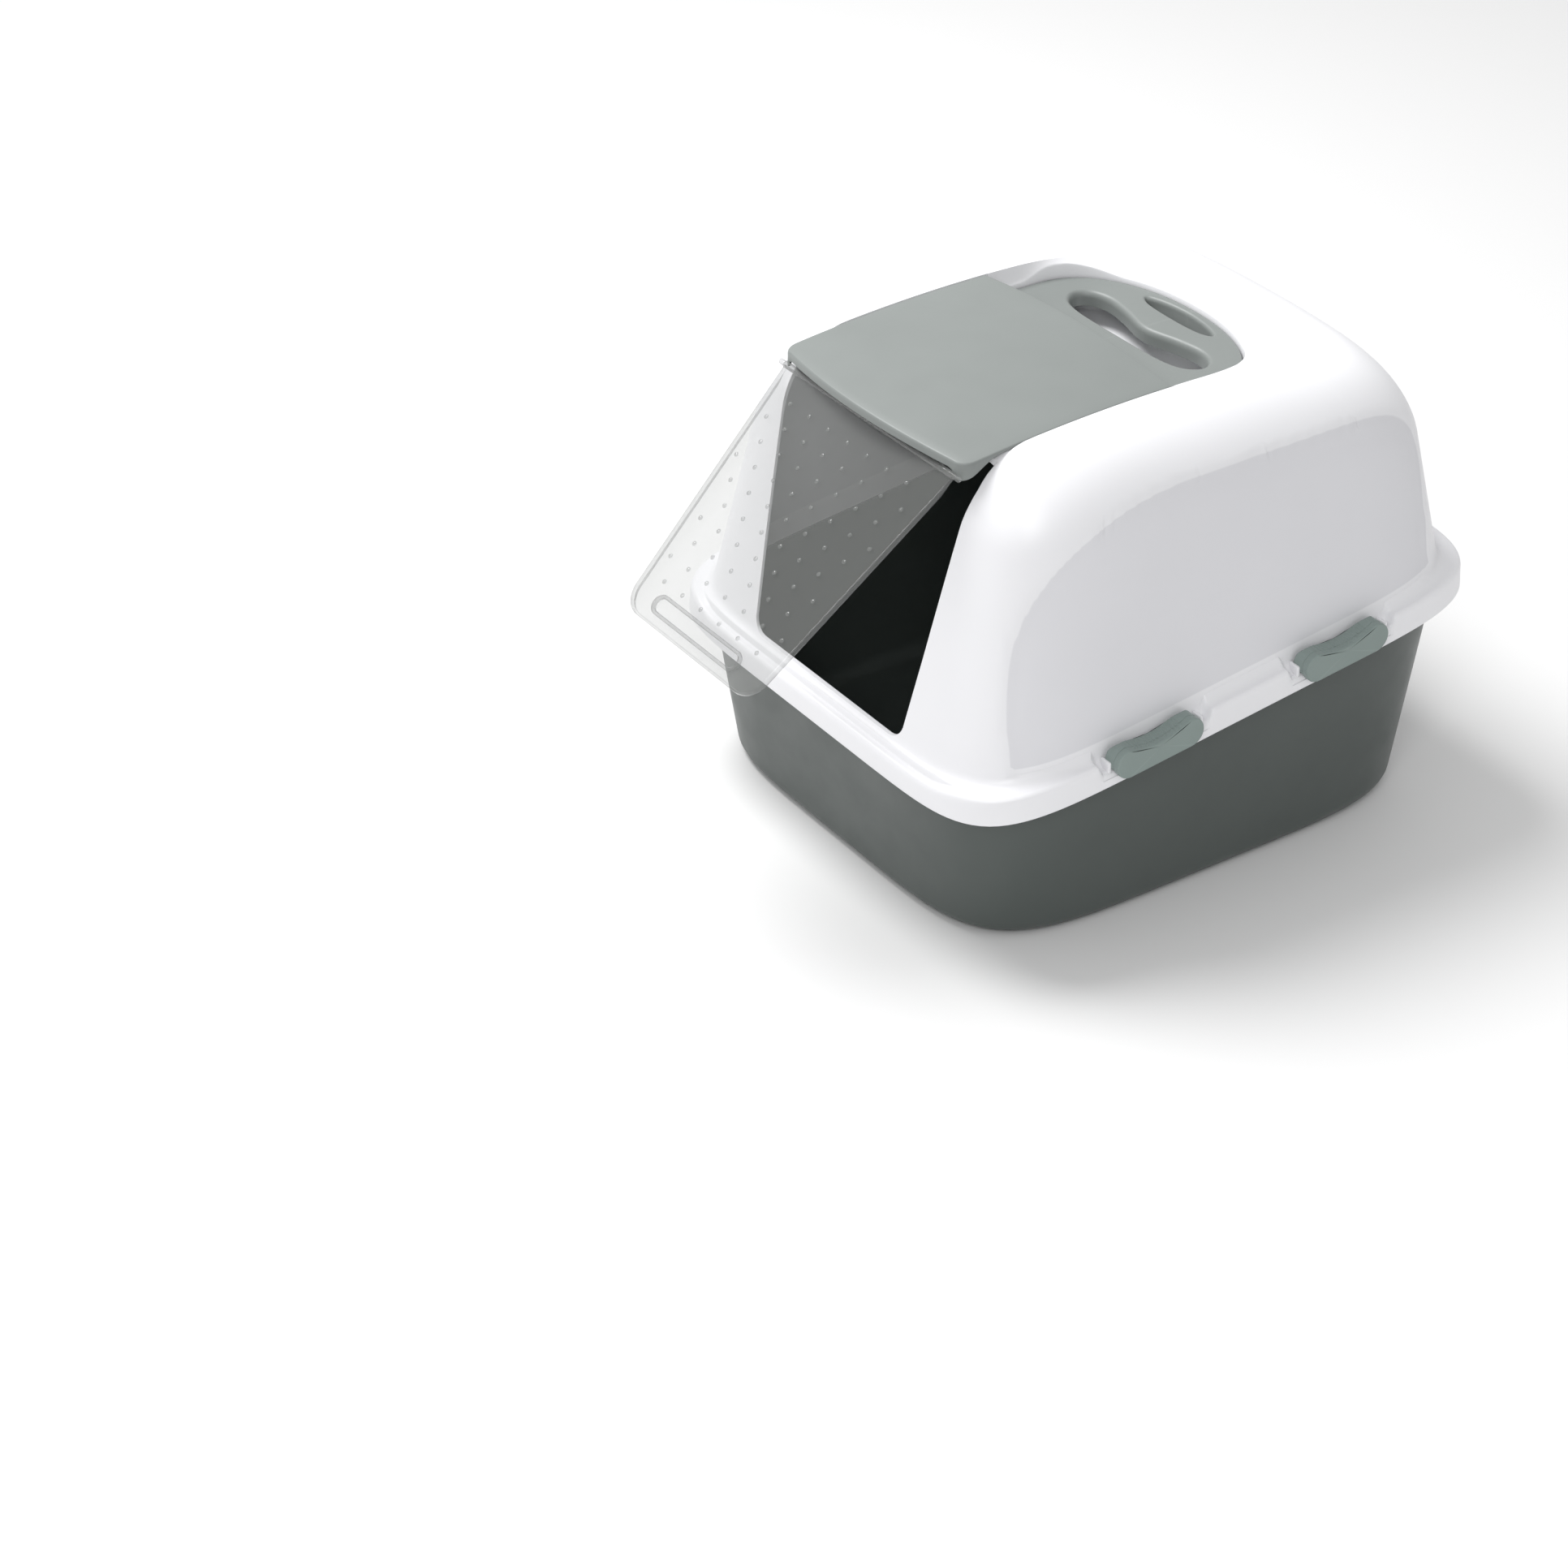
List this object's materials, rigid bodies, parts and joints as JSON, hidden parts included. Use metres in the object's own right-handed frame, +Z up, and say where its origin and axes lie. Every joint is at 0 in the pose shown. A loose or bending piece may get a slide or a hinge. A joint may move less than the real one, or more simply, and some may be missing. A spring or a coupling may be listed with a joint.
{
  "type": "cat litter box with hood",
  "caption": "Hooded cat litter box: open pan, lift-off hood with side latches, flip-up visor, clear swinging door and a carrying handle in the top.",
  "frame": {"origin": "centre of the pan's flat base, on the floor", "axes": "+Z up, +Y from the entrance to the rear, +X to the right seen from behind the entrance looking in"},
  "size_m": [0.516, 0.696, 0.4466],
  "materials": {
    "pan_plastic": "satin moulded polypropylene",
    "hood_plastic": "satin moulded polypropylene",
    "visor_plastic": "satin moulded polypropylene",
    "latch_plastic": "satin moulded polypropylene",
    "clear_plastic": "clear moulded polystyrene",
    "filter_foam": "black carbon filter pad"
  },
  "bodies": {
    "pan": {"pan": "pan_plastic"},
    "hood": {"hood": "hood_plastic", "handle": "visor_plastic", "carbon_filter": "filter_foam", "filter_cover": "hood_plastic"},
    "visor": {"visor": "visor_plastic"},
    "door": {"door": "clear_plastic"},
    "latch_front_left": {"latch_front_left": "latch_plastic"},
    "latch_front_right": {"latch_front_right": "latch_plastic"},
    "latch_rear_left": {"latch_rear_left": "latch_plastic"},
    "latch_rear_right": {"latch_rear_right": "latch_plastic"}
  },
  "joints": [
    {"name": "hood_lift", "type": "slide", "parent": "pan", "child": "hood", "axis": [0, 0, 1], "range_m": [0, 0.25]},
    {"name": "visor_flip", "type": "hinge", "parent": "hood", "child": "visor", "pos_m": [0, -0.015, 0.431], "axis": [-1, 0, 0], "range_deg": [0, 105]},
    {"name": "door_swing", "type": "hinge", "parent": "visor", "child": "door", "pos_m": [0, -0.227, 0.415], "axis": [1, 0, 0], "range_deg": [-32, 116]},
    {"name": "latch_front_left_swing", "type": "hinge", "parent": "hood", "child": "latch_front_left", "pos_m": [-0.248, -0.10477, 0.18854], "axis": [0, 0.9926, 0.1218], "range_deg": [0, 80]},
    {"name": "latch_front_right_swing", "type": "hinge", "parent": "hood", "child": "latch_front_right", "pos_m": [0.248, -0.10477, 0.18854], "axis": [0, -0.9926, -0.1218], "range_deg": [0, 80]},
    {"name": "latch_rear_left_swing", "type": "hinge", "parent": "hood", "child": "latch_rear_left", "pos_m": [-0.248, 0.09843, 0.21347], "axis": [0, 0.9926, 0.1218], "range_deg": [0, 80]},
    {"name": "latch_rear_right_swing", "type": "hinge", "parent": "hood", "child": "latch_rear_right", "pos_m": [0.248, 0.09843, 0.21347], "axis": [0, -0.9926, -0.1218], "range_deg": [0, 80]}
  ]
}
